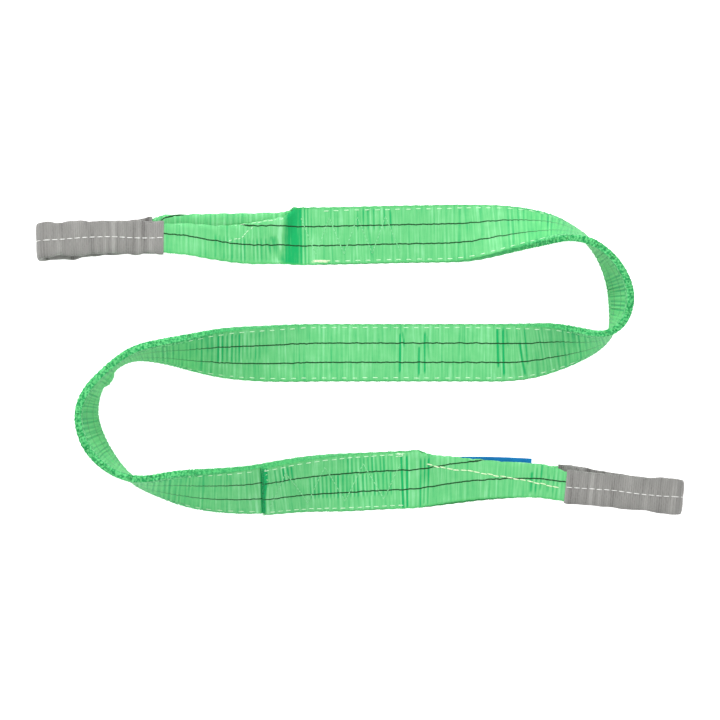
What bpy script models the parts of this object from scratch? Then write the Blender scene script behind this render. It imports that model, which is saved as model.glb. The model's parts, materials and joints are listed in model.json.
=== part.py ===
"""A flat web sling: two plies of polyester webbing sewn together, with a folded, sleeved eye at each end.

The sling lies on a floor in three runs joined by two U-bends. In the runs the webbing lies flat; in the bends it
stands on its edge. One route, seen from above and with the webbing's roll at each place, carries every piece.
Metres, +Z up, with the origin on the floor under the middle of the whole sling.
"""

import math

import bmesh
import bpy
import numpy as np
from mathutils import Vector

# Webbing
WEB_WIDTH = 0.0600
PLY = 0.0028
GAP = 0.0004
LAYER_GAP = 0.0005  # under the sewn overlap, whose facets don't line up with the ply's
HALF_WIDTH = WEB_WIDTH / 2
HALF_PACK = PLY + GAP / 2  # from the middle of the two plies to the outside of either
BEND_SPLAY = 0.0014  # how much further apart the plies stand where they are on edge

# Eyes
SLEEVE_WIDTH = 0.0360
SLEEVE_WALL = 0.0010
FOLDED_WIDTH = 0.0310  # the webbing inside a sleeve, folded double along its length
FOLDED_PLY = 2 * PLY
EYE_GAP = 0.0080  # height of the open loop between the two sleeved legs
LEG_HEIGHT = FOLDED_PLY + 2 * SLEEVE_WALL + 2 * GAP

# Joints
BEND_ANGLE = math.radians(60)  # how far each of a bend's three hinges opens
FOLD_ANGLE = math.radians(90)  # how far an eye folds up from the floor

# Threads
THREAD = 0.0004  # radius
THREAD_GAP = 0.0008  # between a thread and the facets of the webbing that it follows
SEAM_INSET = 0.0040  # from the webbing's edge to the edge seams

# The route in millimetres: x, y and the roll in degrees. At roll 0 the face ply is up, at 90 the webbing stands
# on its edge, and at 180 the back ply is up. The left bend holds the half twist.
ROUTE = [
    (-337, 125.2, 0),
    (-260, 128.5, 0),
    (-203, 127.5, 0),
    (-125, 127.5, 0),
    (-73, 129.0, 0),
    (-25, 129.7, 0),
    (42, 131.3, 0),
    (88, 132.0, 0),
    (110, 132.2, 14),
    (130, 134.0, 27),
    (150, 136.0, 38),
    (175, 137.2, 51),
    (200, 136.5, 65),
    (219, 133.0, 80),
    (238, 125.0, 90),
    (252, 112.0, 98),
    (263, 96.0, 105),
    (271, 75.0, 110),
    (272, 59.0, 110),
    (269, 42.0, 104),
    (262, 29.0, 90),
    (250, 21.5, 77),
    (238, 18.5, 69),
    (225, 16.5, 57),
    (213, 15.0, 47),
    (200, 13.5, 37),
    (175, 9.5, 22),
    (150, 8.0, 8),
    (125, 8.0, 0),
    (0, 8.0, 0),
    (-45, 8.0, 0),
    (-70, 7.6, 10),
    (-100, 7.0, 20),
    (-125, 7.3, 28),
    (-150, 7.8, 39),
    (-175, 8.5, 56),
    (-200, 9.6, 69),
    (-225, 9.0, 78),
    (-240, 5.5, 84),
    (-252, -1.5, 88),
    (-264, -12.0, 87),
    (-276, -27.5, 81),
    (-283, -43.0, 75),
    (-285, -59.0, 72),
    (-280, -79.0, 71),
    (-271, -95.0, 73),
    (-256, -111.5, 80),
    (-240, -122.5, 90),
    (-225, -127.5, 98),
    (-213, -129.3, 106),
    (-200, -130.6, 114),
    (-188, -132.0, 122),
    (-163, -134.4, 131),
    (-138, -135.3, 137),
    (-112, -134.6, 142),
    (-88, -131.6, 147),
    (-62, -128.4, 153),
    (-38, -127.0, 161),
    (-12, -126.6, 172),
    (10, -125.8, 180),
    (58, -123.8, 180),
    (83, -124.5, 180),
    (125, -124.8, 180),
    (150, -125.8, 180),
    (175, -127.5, 180),
    (200, -129.6, 180),
    (214, -131.2, 180),
    (250, -134.6, 180),
    (337, -142.7, 180),
]
PATH_SMOOTHING = 0.018  # how far each way the path is averaged, so that it has no corners
ROLL_SMOOTHING = 0.030
CENTRE = (0.05, 0.42, 0)  # the middle of the whole sling among the route's points, which becomes the origin

# Where along the route things are, as the points nearest to these places in millimetres
EYE_A_ROOT = (-73, 129)
RIGHT_HINGES = [(238, 125), (270, 78), (262, 29)]
LEFT_HINGES = [(-252, -1.5), (-285, -59), (-240, -122.5)]
EYE_B_ROOT = (58, -123.8)
OVERLAP_END = (-102, -133.5)
SPLICE_A_END = (42, 131.3)

SAMPLE = 0.001  # spacing of the route's samples


def soft_mean(values, reach):
    """The values averaged over reach samples each way, with both ends kept."""
    weights = np.hanning(2 * reach + 3)[1:-1]
    before = 2 * values[0] - values[reach:0:-1]
    after = 2 * values[-1] - values[-2 : -reach - 2 : -1]
    padded = np.concatenate([before, values, after])
    return np.convolve(padded, weights / weights.sum(), mode="valid")


class Route:
    """The middle line of the sling from eye A's crown to eye B's, with the webbing's roll along it."""

    def __init__(self, stations):
        stations = (np.array(stations, dtype=float) - CENTRE) * (0.001, 0.001, math.pi / 180)
        steps = np.hypot(*np.diff(stations[:, :2], axis=0).T)
        knots = np.concatenate([[0], np.cumsum(steps)])
        dense = np.arange(0, knots[-1], SAMPLE)
        reaches = (PATH_SMOOTHING, PATH_SMOOTHING, ROLL_SMOOTHING)
        self.x, self.y, self.roll = (
            soft_mean(np.interp(dense, knots, column), round(reach / SAMPLE))
            for column, reach in zip(stations.T, reaches)
        )
        self.s = np.concatenate([[0], np.cumsum(np.hypot(np.diff(self.x), np.diff(self.y)))])
        self.tx = np.gradient(self.x, self.s)
        self.ty = np.gradient(self.y, self.s)
        self.length = float(self.s[-1])

    def value(self, values, s):
        return float(np.interp(s, self.s, values))

    def nearest(self, place):
        x, y = (place[0] - CENTRE[0]) / 1000, (place[1] - CENTRE[1]) / 1000
        return float(self.s[np.argmin(np.hypot(self.x - x, self.y - y))])

    def tangent(self, s):
        return Vector((self.value(self.tx, s), self.value(self.ty, s), 0)).normalized()

    def right(self, s):
        t = self.tangent(s)
        return Vector((t.y, -t.x, 0))

    def middle(self, s):
        """The middle of the webbing, at the height that puts its lower edge on the floor."""
        roll = self.value(self.roll, s)
        height = HALF_WIDTH * abs(math.sin(roll)) + (HALF_PACK + self.splay(s)) * abs(math.cos(roll))
        return Vector((self.value(self.x, s), self.value(self.y, s), height))

    def point(self, s, across, out):
        """A point on the webbing: across its width, and out from its middle towards the face ply's side."""
        roll = self.value(self.roll, s)
        right, up = self.right(s), Vector((0, 0, 1))
        width = math.cos(roll) * right + math.sin(roll) * up
        normal = -math.sin(roll) * right + math.cos(roll) * up
        return self.middle(s) + across * width + out * normal

    def splay(self, s):
        return BEND_SPLAY * abs(math.sin(self.value(self.roll, s)))


route = Route(ROUTE)


def ramp(value, start, end):
    """0 before start, 1 after end, and a smooth rise between them."""
    t = min(max((value - start) / (end - start), 0.0), 1.0)
    return t * t * (3 - 2 * t)


# ---------------------------------------------------------------- scene and materials


def clear_scene():
    for o in list(bpy.data.objects):
        bpy.data.objects.remove(o, do_unlink=True)


def make_collection(name):
    collection = bpy.data.collections.new(name)
    bpy.context.scene.collection.children.link(collection)
    return collection


def make_material(name, colour, roughness, metallic=0.0):
    material = bpy.data.materials.new(name)
    material.use_nodes = True
    shader = material.node_tree.nodes["Principled BSDF"]
    shader.inputs["Base Color"].default_value = (*colour, 1)
    shader.inputs["Roughness"].default_value = roughness
    shader.inputs["Metallic"].default_value = metallic
    return material


def add_object(name, data, material, parent):
    """An object whose data is in world coordinates, hung under its body's empty."""
    o = bpy.data.objects.new(name, data)
    sling.objects.link(o)
    data.materials.append(material)
    o.parent = parent
    o.matrix_parent_inverse = parent.matrix_world.inverted()
    return o


def make_body(name, place, parent=None):
    """An empty on the axis of the body's joint."""
    empty = bpy.data.objects.new(name, None)
    sling.objects.link(empty)
    empty.location = place
    empty.empty_display_size = 0.02
    bpy.context.view_layer.update()
    if parent is not None:
        empty.parent = parent
        empty.matrix_parent_inverse = parent.matrix_world.inverted()
        bpy.context.view_layer.update()
    return empty


# ---------------------------------------------------------------- ways to make a piece


def laid_sheet(name, surface, along, across, thickness, material, parent, share=None, round_way=False):
    """A grid laid on surface(u, v), with u along it and v across it, thickened to both sides by Solidify.

    share(u) is the part of the thickness that a place gets. With round_way the sheet's sides meet in a tube.
    """
    bm = bmesh.new()
    bmesh.ops.create_grid(bm, x_segments=along, y_segments=across, size=1)
    shares = {}
    for v in bm.verts:
        u = (v.co.x + 1) / 2
        shares[v.index] = share(u) if share else 1.0
        v.co = surface(u, v.co.y)
    mesh = bpy.data.meshes.new(name)
    # Every sheet is split along the same diagonals, so that twisted neighbours stay parallel
    bmesh.ops.triangulate(bm, faces=bm.faces, quad_method="FIXED")
    if round_way:
        bmesh.ops.remove_doubles(bm, verts=bm.verts, dist=1e-6)
    bm.to_mesh(mesh)
    bm.free()
    mesh.shade_smooth()
    mesh.set_sharp_from_angle(angle=math.radians(40))
    o = add_object(name, mesh, material, parent)
    solidify = o.modifiers.new("thickness", "SOLIDIFY")
    solidify.thickness = thickness
    solidify.offset = 0
    if share:
        group = o.vertex_groups.new(name="thickness")
        for index, weight in shares.items():
            group.add([index], weight, "REPLACE")
        solidify.vertex_group = group.name
    return o


def thread_line(name, points, material, parent):
    """A sewing thread that lies along the points."""
    curve = bpy.data.curves.new(name, "CURVE")
    curve.dimensions = "3D"
    curve.bevel_depth = THREAD
    curve.bevel_resolution = 0
    curve.use_fill_caps = True
    spline = curve.splines.new("POLY")
    spline.points.add(len(points) - 1)
    for p, co in zip(spline.points, points):
        p.co = (*co, 1)
    return add_object(name, curve, material, parent)


# ---------------------------------------------------------------- the webbing of the runs and bends


def end_gap(end, across):
    """How far a ply stops short of a place, so that nothing meets when its hinge opens.

    end is (place on the route, side, half of the pack's thickness). side is +1 where the hinge's outer side is on
    the route's right, -1 on its left, 0 at an eye's root and None at a cut end.
    """
    s, side, half_pack = end
    if side is None:
        return 0.0
    if side == 0:
        return half_pack * math.tan(FOLD_ANGLE / 2) + 2 * GAP
    lean = side * across * math.cos(route.value(route.roll, s))
    reach = max(half_pack + route.splay(s) + lean, 0)
    return reach * math.tan(BEND_ANGLE / 2) + GAP


def ply(name, start, end, side, material, parent, layer=0, step=0.010):
    """A length of one ply between two hinges. side is +1 for the face ply and -1 for the back ply.

    layer 1 lies outside the ply itself, as an overlap sewn on it does.
    """

    def surface(u, v):
        across = v * HALF_WIDTH
        first = start[0] + end_gap(start, across)
        last = end[0] - end_gap(end, across)
        s = first + u * (last - first)
        out = (PLY + GAP) / 2 + layer * (PLY + LAYER_GAP) + route.splay(s)
        return route.point(s, across, side * out)

    along = max(round((end[0] - start[0]) / step), 4)
    return laid_sheet(name, surface, along, 4, PLY, material, parent)


def edge_seam(name, start, end, across, side, material, parent, layer=0):
    """The thread along one edge of a run, on the side that is up."""
    count = max(round((end - start) / 0.009), 2)
    out = side * (HALF_PACK + layer * (PLY + LAYER_GAP) + THREAD_GAP + THREAD)
    places = np.linspace(start, end, count).tolist()
    points = [route.point(s, across, out + side * route.splay(s)) for s in places]
    return thread_line(name, points, material, parent)


def splice_stitching(name, start, end, side, material, parent, layer=0):
    """The zigzag of strong thread that joins the plies behind an eye."""
    out = side * (HALF_PACK + layer * (PLY + LAYER_GAP) + THREAD_GAP + THREAD)
    turns, parts = 7, 4
    reach = HALF_WIDTH - 3 * SEAM_INSET
    points = []
    for i in range(turns * parts + 1):
        s = start + (end - start) * i / (turns * parts)
        swing = 1 - 2 * abs(i / parts % 2 - 1)
        points.append(route.point(s, reach * swing, out + side * route.splay(s)))
    return thread_line(name, points, material, parent)


# ---------------------------------------------------------------- the eyes


class Eye:
    """An eye's loop: out along the upper leg, round the crown and back along the lower leg.

    root and crown are places on the route. upper_start is the height of the upper leg's middle at the root.
    skew(d) is how far the lower leg lies to the route's right of the upper one, d from the root.
    """

    def __init__(self, root, crown, upper_start, root_gap, sleeve_length, skew):
        self.root = root
        self.way = math.copysign(1, crown - root)
        self.reach = abs(crown - root)
        self.root_gap = root_gap
        self.sleeve_start = self.reach - sleeve_length
        self.upper_start = upper_start
        self.lower_height = SLEEVE_WALL + GAP + FOLDED_PLY / 2
        self.upper_height = self.lower_height + LEG_HEIGHT + EYE_GAP
        self.turn = (self.upper_height - self.lower_height) / 2
        self.straight = self.reach - self.turn - LEG_HEIGHT / 2
        self.skew = skew
        self.length = 2 * (self.straight - root_gap) + math.pi * self.turn

    def taper(self, d):
        """0 at the root, where the webbing is open and flat, and 1 where it is folded into the sleeve."""
        return min(d / (0.95 * self.sleeve_start), 1.0)

    def half_width(self, d):
        return HALF_WIDTH + self.taper(d) * (FOLDED_WIDTH / 2 - HALF_WIDTH)

    def place(self, q):
        """The loop's middle at q along it: (point, direction along the loop, distance from the root)."""
        leg = self.straight - self.root_gap
        if q < leg:
            d, upper, bend = self.root_gap + q, 1.0, 0.0
        elif q > self.length - leg:
            d, upper, bend = self.root_gap + self.length - q, 0.0, math.pi
        else:
            bend = (q - leg) / self.turn
            d, upper = self.straight + self.turn * math.sin(bend), (1 + math.cos(bend)) / 2
        rise = ramp(d, 0, 0.9 * self.sleeve_start)
        low = PLY / 2 + rise * (self.lower_height - PLY / 2)
        high = self.upper_start + rise * (self.upper_height - self.upper_start)
        s = self.root + self.way * d
        flat = route.middle(s)
        right = route.right(s)
        co = Vector((flat.x, flat.y, low + upper * (high - low))) + right * self.skew(d) * (1 - upper)
        return co, d

    def frame(self, q):
        """Middle, across and outward directions of the loop at q."""
        step = 0.0005
        co, d = self.place(q)
        before = self.place(max(q - step, 0))[0]
        after = self.place(min(q + step, self.length))[0]
        along = (after - before).normalized()
        across = route.right(self.root + self.way * d) * self.way
        across = (across - across.dot(along) * along).normalized()
        return co, across, across.cross(along).normalized(), d

    def stations(self):
        """q of the loop's rings: few on the legs, one at each mouth of the sleeve, and close round the crown."""
        mouth = self.sleeve_start - self.root_gap
        leg = self.straight - self.root_gap
        legs = np.concatenate([np.linspace(0, mouth, 10)[:-1], np.linspace(mouth, leg, 8)[:-1]])
        crown = np.linspace(leg, self.length - leg, 9)
        return np.concatenate([legs, crown, self.length - legs[::-1]]).tolist()

    def sleeve_stations(self):
        mouth = self.sleeve_start - self.root_gap - 1e-6
        return [q for q in self.stations() if mouth < q < self.length - mouth]


def loop_webbing(name, eye, material, parent):
    """The webbing of an eye in one length, flat at the root and folded double under the sleeve."""
    stations = eye.stations()

    def surface(u, v):
        co, across, _, d = eye.frame(stations[round(u * (len(stations) - 1))])
        return co + v * eye.half_width(d) * across

    def share(u):
        _, _, _, d = eye.frame(stations[round(u * (len(stations) - 1))])
        return (PLY + eye.taper(d) * (FOLDED_PLY - PLY)) / FOLDED_PLY

    return laid_sheet(name, surface, len(stations) - 1, 4, FOLDED_PLY, material, parent, share)


def sleeve(name, eye, material, parent):
    """The wear sleeve: a flattened tube over the folded webbing, open at both ends."""
    stations = eye.sleeve_stations()
    half_width = (SLEEVE_WIDTH - SLEEVE_WALL) / 2
    half_height = (LEG_HEIGHT - SLEEVE_WALL) / 2
    corner = 0.0010
    outline = []
    for cx, cy, first in ((1, 1, 0), (-1, 1, 90), (-1, -1, 180), (1, -1, 270)):
        for angle in (first, first + 45, first + 90):
            a = math.radians(angle)
            outline.append(
                (
                    cx * (half_width - corner) + corner * math.cos(a),
                    cy * (half_height - corner) + corner * math.sin(a),
                )
            )
    outline.append(outline[0])

    def surface(u, v):
        co, across, out, _ = eye.frame(stations[round(u * (len(stations) - 1))])
        a, b = outline[round((v + 1) / 2 * (len(outline) - 1))]
        return co + a * across + b * out

    return laid_sheet(
        name, surface, len(stations) - 1, len(outline) - 1, SLEEVE_WALL, material, parent, round_way=True
    )


def sleeve_seam(name, eye, material, parent):
    """The thread along the middle of a sleeve's upper leg."""
    points = []
    for q in np.linspace(eye.sleeve_start - eye.root_gap + 0.003, eye.straight - eye.root_gap, 8).tolist():
        co, _, out, _ = eye.frame(q)
        up = out if out.z > 0 else -out
        points.append(co + up * (LEG_HEIGHT / 2 + GAP + THREAD))
    return thread_line(name, points, material, parent)


# ---------------------------------------------------------------- the label

LABEL_LENGTH = 0.099
LABEL_WIDTH = 0.036
LABEL_THICK = 0.0006
LABEL_START = 0.020  # from eye B's root to the label's sewn end
LABEL_SEWN = 0.006  # the length of the label that is sewn down
LABEL_SHIFT = -0.0040  # to the side of the lower leg on which it shows


def label_point(eye, d, across, lift):
    """A point over eye B's lower leg, d from the root."""
    co = eye.place(eye.length - (d - eye.root_gap))[0]
    right = route.right(eye.root + eye.way * d)
    top = eye.taper(d) * (FOLDED_PLY - PLY) / 2 + PLY / 2
    return co + across * right + Vector((0, 0, top + lift))


def label_sheet(name, eye, first, last, material, parent):
    """The identification label, which lies on the lower leg and shows past the upper leg's far edge."""

    def surface(u, v):
        d = first + u * (last - first)
        return label_point(eye, d, v * LABEL_WIDTH / 2 + LABEL_SHIFT, 2 * GAP + LABEL_THICK / 2)

    return laid_sheet(name, surface, 6, 2, LABEL_THICK, material, parent)


# ---------------------------------------------------------------- the sling

clear_scene()
sling = make_collection("flat_web_sling")
green = make_material("green_webbing", (0.10, 0.62, 0.19), 0.75)
grey = make_material("grey_sleeve", (0.36, 0.36, 0.35), 0.85)
white = make_material("white_thread", (0.80, 0.84, 0.74), 0.7)
green_thread = make_material("green_thread", (0.20, 0.66, 0.25), 0.7)
blue = make_material("blue_label", (0.01, 0.16, 0.45), 0.5)

root_a = route.nearest(EYE_A_ROOT)
root_b = route.nearest(EYE_B_ROOT)
right_hinges = [route.nearest(p) for p in RIGHT_HINGES]
left_hinges = [route.nearest(p) for p in LEFT_HINGES]

# The tree of bodies, from the middle run outwards
middle_run = make_body("middle_run_body", (0, 0, 0))
right_near = make_body("right_bend_near_body", route.middle(right_hinges[2]), middle_run)
right_far = make_body("right_bend_far_body", route.middle(right_hinges[1]), right_near)
top_run = make_body("top_run_body", route.middle(right_hinges[0]), right_far)
eye_a_body = make_body("eye_a_body", route.middle(root_a), top_run)
left_near = make_body("left_bend_near_body", route.middle(left_hinges[0]), middle_run)
left_far = make_body("left_bend_far_body", route.middle(left_hinges[1]), left_near)
bottom_run = make_body("bottom_run_body", route.middle(left_hinges[2]), left_far)
overlap_pack = HALF_PACK + (PLY + LAYER_GAP) / 2
eye_b_place = route.middle(root_b)
eye_b_place.z = overlap_pack
eye_b_body = make_body("eye_b_body", eye_b_place, bottom_run)

# The plies: each length runs from hinge to hinge. A right bend's outer side is on the route's left.
ends = [(root_a, 0, HALF_PACK)]
ends += [(s, -1, HALF_PACK) for s in right_hinges]
ends += [(s, 1, HALF_PACK) for s in left_hinges]
ends += [(root_b, 0, overlap_pack)]
lengths = [
    ("top_run", top_run),
    ("right_bend_far", right_far),
    ("right_bend_near", right_near),
    ("middle_run", middle_run),
    ("left_bend_near", left_near),
    ("left_bend_far", left_far),
    ("bottom_run", bottom_run),
]
for (name, body), start, end in zip(lengths, ends, ends[1:]):
    ply(name + "_face_ply", start, end, 1, green, body)
    ply(name + "_back_ply", start, end, -1, green, body)

overlap_start = route.nearest(OVERLAP_END)
ply("bottom_run_overlap", (overlap_start, None, 0), ends[-1], -1, green, bottom_run, layer=1)

# Edge seams on the side of each run that is up
inset = HALF_WIDTH - SEAM_INSET
clear = 0.012  # how far a seam stops short of a hinge
seams = [
    ("top_run", root_a + clear, right_hinges[0] - clear, 1, 0, top_run),
    ("middle_run", right_hinges[2] + clear, left_hinges[0] - clear, 1, 0, middle_run),
    ("bottom_run", left_hinges[2] + clear, overlap_start - clear, -1, 0, bottom_run),
    ("overlap", overlap_start + GAP, root_b - clear, -1, 1, bottom_run),
]
for name, first, last, side, layer, body in seams:
    edge_seam(name + "_near_seam", first, last, inset, side, white, body, layer)
    edge_seam(name + "_far_seam", first, last, -inset, side, white, body, layer)

splice_stitching("splice_a_stitching", root_a + clear, route.nearest(SPLICE_A_END), 1, green_thread, top_run)
splice_stitching(
    "splice_b_stitching", overlap_start + clear, root_b - clear, -1, green_thread, bottom_run, layer=1
)

# The eyes
eye_a = Eye(
    root_a,
    0.0,
    upper_start=PLY * 1.5 + GAP,
    root_gap=end_gap(ends[0], 0),
    sleeve_length=0.133,
    skew=lambda d: -0.0040 * ramp(d, 0.01, 0.08) + 0.0060 * ramp(d, 0.15, 0.25),
)
eye_b = Eye(
    root_b,
    route.length,
    upper_start=PLY * 2.5 + GAP + LAYER_GAP,
    root_gap=end_gap(ends[-1], 0),
    sleeve_length=0.123,
    skew=lambda d: -0.0035 * ramp(d, 0.01, 0.08) * (1 - ramp(d, 0.14, 0.23)),
)
for name, eye, body in (("eye_a", eye_a, eye_a_body), ("eye_b", eye_b, eye_b_body)):
    loop_webbing(name + "_webbing", eye, green, body)
    sleeve(name + "_sleeve", eye, grey, body)
    sleeve_seam(name + "_sleeve_seam", eye, white, body)

# The label: its sewn end stays on the lower leg and the rest flaps about the seam
label_hinge = LABEL_START + LABEL_SEWN
label_body = make_body("label_body", label_point(eye_b, label_hinge, 0, 0), eye_b_body)
label_sheet("label_sewn_end", eye_b, LABEL_START, label_hinge - GAP / 2, blue, eye_b_body)
label_sheet("label", eye_b, label_hinge + GAP / 2, LABEL_START + LABEL_LENGTH, blue, label_body)
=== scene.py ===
"""Looks of a flat web sling: green webbing with dark stripes, grey wear sleeves, stitching and a blue label.

Every piece is laid along the sling's route, which is the middle line of its webbing seen from above with the
webbing's roll at each place. Lengths along the route are called s, and lengths over its width across.
Metres, +Z up.
"""

import json
import math

import bpy
import numpy as np
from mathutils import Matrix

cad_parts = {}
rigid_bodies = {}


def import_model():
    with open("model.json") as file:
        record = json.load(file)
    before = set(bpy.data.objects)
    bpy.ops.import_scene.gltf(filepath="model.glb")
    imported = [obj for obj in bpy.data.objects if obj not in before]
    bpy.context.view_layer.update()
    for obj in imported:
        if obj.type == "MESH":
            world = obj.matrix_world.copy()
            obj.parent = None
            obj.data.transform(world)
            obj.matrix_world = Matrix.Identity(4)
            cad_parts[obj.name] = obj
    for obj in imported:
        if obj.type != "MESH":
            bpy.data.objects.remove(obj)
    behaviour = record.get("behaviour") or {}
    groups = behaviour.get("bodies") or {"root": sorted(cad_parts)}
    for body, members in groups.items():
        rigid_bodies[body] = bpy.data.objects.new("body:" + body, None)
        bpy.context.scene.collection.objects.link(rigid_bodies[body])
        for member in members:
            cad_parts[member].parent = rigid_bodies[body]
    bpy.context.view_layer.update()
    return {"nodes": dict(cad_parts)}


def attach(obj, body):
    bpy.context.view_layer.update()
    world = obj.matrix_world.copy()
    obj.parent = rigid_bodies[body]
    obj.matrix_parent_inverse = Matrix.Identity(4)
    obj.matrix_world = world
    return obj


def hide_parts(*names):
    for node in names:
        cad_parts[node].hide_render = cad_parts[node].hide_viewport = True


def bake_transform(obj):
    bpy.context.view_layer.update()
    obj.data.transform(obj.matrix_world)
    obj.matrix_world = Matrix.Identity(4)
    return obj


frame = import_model()

# Webbing, as in the CAD model
PLY = 0.0028
GAP = 0.0004
LAYER_GAP = 0.0005
HALF_WIDTH = 0.0300
HALF_PACK = PLY + GAP / 2
BEND_SPLAY = 0.0014

# Eyes and sleeves, as in the CAD model
SLEEVE_WIDTH = 0.0360
SLEEVE_WALL = 0.0010
FOLDED_PLY = 2 * PLY
EYE_GAP = 0.0080
LEG_HEIGHT = FOLDED_PLY + 2 * SLEEVE_WALL + 2 * GAP

# The route in millimetres: x, y and the roll in degrees
ROUTE = [
    (-337, 125.2, 0),
    (-260, 128.5, 0),
    (-203, 127.5, 0),
    (-125, 127.5, 0),
    (-73, 129.0, 0),
    (-25, 129.7, 0),
    (42, 131.3, 0),
    (88, 132.0, 0),
    (110, 132.2, 14),
    (130, 134.0, 27),
    (150, 136.0, 38),
    (175, 137.2, 51),
    (200, 136.5, 65),
    (219, 133.0, 80),
    (238, 125.0, 90),
    (252, 112.0, 98),
    (263, 96.0, 105),
    (271, 75.0, 110),
    (272, 59.0, 110),
    (269, 42.0, 104),
    (262, 29.0, 90),
    (250, 21.5, 77),
    (238, 18.5, 69),
    (225, 16.5, 57),
    (213, 15.0, 47),
    (200, 13.5, 37),
    (175, 9.5, 22),
    (150, 8.0, 8),
    (125, 8.0, 0),
    (0, 8.0, 0),
    (-45, 8.0, 0),
    (-70, 7.6, 10),
    (-100, 7.0, 20),
    (-125, 7.3, 28),
    (-150, 7.8, 39),
    (-175, 8.5, 56),
    (-200, 9.6, 69),
    (-225, 9.0, 78),
    (-240, 5.5, 84),
    (-252, -1.5, 88),
    (-264, -12.0, 87),
    (-276, -27.5, 81),
    (-283, -43.0, 75),
    (-285, -59.0, 72),
    (-280, -79.0, 71),
    (-271, -95.0, 73),
    (-256, -111.5, 80),
    (-240, -122.5, 90),
    (-225, -127.5, 98),
    (-213, -129.3, 106),
    (-200, -130.6, 114),
    (-188, -132.0, 122),
    (-163, -134.4, 131),
    (-138, -135.3, 137),
    (-112, -134.6, 142),
    (-88, -131.6, 147),
    (-62, -128.4, 153),
    (-38, -127.0, 161),
    (-12, -126.6, 172),
    (10, -125.8, 180),
    (58, -123.8, 180),
    (83, -124.5, 180),
    (125, -124.8, 180),
    (150, -125.8, 180),
    (175, -127.5, 180),
    (200, -129.6, 180),
    (214, -131.2, 180),
    (250, -134.6, 180),
    (337, -142.7, 180),
]
PATH_SMOOTHING = 0.018
ROLL_SMOOTHING = 0.030
CENTRE = (0.05, 0.42, 0)
SAMPLE = 0.001

# Where along the route things are, as the points nearest to these places in millimetres
EYE_A_ROOT = (-73, 129)
RIGHT_HINGES = [(238, 125), (270, 78), (262, 29)]
LEFT_HINGES = [(-252, -1.5), (-285, -59), (-240, -122.5)]
EYE_B_ROOT = (58, -123.8)
OVERLAP_END = (-102, -133.5)

UP = np.array([0.0, 0.0, 1.0])


def soft_mean(values, reach):
    """The values averaged over reach samples each way, with both ends kept."""
    weights = np.hanning(2 * reach + 3)[1:-1]
    before = 2 * values[0] - values[reach:0:-1]
    after = 2 * values[-1] - values[-2 : -reach - 2 : -1]
    padded = np.concatenate([before, values, after])
    return np.convolve(padded, weights / weights.sum(), mode="valid")


def ramp(value, start, end):
    """0 before start, 1 after end, and a smooth rise between them."""
    t = np.clip((np.asarray(value, float) - start) / (end - start), 0, 1)
    return t * t * (3 - 2 * t)


def unit(vectors):
    """The vectors at length 1."""
    return vectors / np.linalg.norm(vectors, axis=-1, keepdims=True)


class Route:
    """The middle line of the sling from eye A's crown to eye B's, with the webbing's roll along it.

    Its methods take places along it, s, one or many.
    """

    def __init__(self, stations):
        stations = (np.array(stations, dtype=float) - CENTRE) * (0.001, 0.001, math.pi / 180)
        steps = np.hypot(*np.diff(stations[:, :2], axis=0).T)
        knots = np.concatenate([[0], np.cumsum(steps)])
        dense = np.arange(0, knots[-1], SAMPLE)
        reaches = (PATH_SMOOTHING, PATH_SMOOTHING, ROLL_SMOOTHING)
        self.x, self.y, self.rolls = (
            soft_mean(np.interp(dense, knots, column), round(reach / SAMPLE))
            for column, reach in zip(stations.T, reaches)
        )
        self.s = np.concatenate([[0], np.cumsum(np.hypot(np.diff(self.x), np.diff(self.y)))])
        self.tx = np.gradient(self.x, self.s)
        self.ty = np.gradient(self.y, self.s)
        self.length = float(self.s[-1])

    def nearest(self, place):
        """The s that is nearest to a place on the floor in millimetres."""
        x, y = (place[0] - CENTRE[0]) / 1000, (place[1] - CENTRE[1]) / 1000
        return float(self.s[np.argmin(np.hypot(self.x - x, self.y - y))])

    def at_x(self, x, first, last):
        """The place between first and last where the route passes x millimetres."""
        inside = (self.s >= first) & (self.s <= last)
        away = np.where(inside, np.abs(self.x - x / 1000), np.inf)
        return float(self.s[np.argmin(away)])

    def roll(self, s):
        return np.interp(s, self.s, self.rolls)

    def tangent(self, s):
        tx = np.interp(s, self.s, self.tx)
        ty = np.interp(s, self.s, self.ty)
        return unit(np.stack([tx, ty, np.zeros_like(tx)], -1))

    def right(self, s):
        """The direction on the floor to the right of the way along the route."""
        t = self.tangent(s)
        return np.stack([t[..., 1], -t[..., 0], t[..., 2]], -1)

    def floor(self, s):
        """The point of the floor under the middle line."""
        x = np.interp(s, self.s, self.x)
        return np.stack([x, np.interp(s, self.s, self.y), np.zeros_like(x)], -1)

    def splay(self, s):
        """How far each ply stands off the middle in a bend."""
        return BEND_SPLAY * np.abs(np.sin(self.roll(s)))

    def point(self, s, across, out):
        """Points on the webbing: across its width, and out from its middle towards the face ply's side."""
        s, across, out = np.broadcast_arrays(*(np.asarray(v, float) for v in (s, across, out)))
        roll = self.roll(s)[..., None]
        right = self.right(s)
        width = np.cos(roll) * right + np.sin(roll) * UP
        normal = -np.sin(roll) * right + np.cos(roll) * UP
        half_pack = (HALF_PACK + self.splay(s))[..., None]
        height = HALF_WIDTH * np.abs(np.sin(roll)) + half_pack * np.abs(np.cos(roll))
        return self.floor(s) + height * UP + across[..., None] * width + out[..., None] * normal


route = Route(ROUTE)
root_a = route.nearest(EYE_A_ROOT)
root_b = route.nearest(EYE_B_ROOT)
right_hinges = [route.nearest(p) for p in RIGHT_HINGES]
left_hinges = [route.nearest(p) for p in LEFT_HINGES]
overlap_start = route.nearest(OVERLAP_END)
middle_span = (right_hinges[2], left_hinges[0])


# ---------------------------------------------------------------- the joints that the webbing crosses

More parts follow.
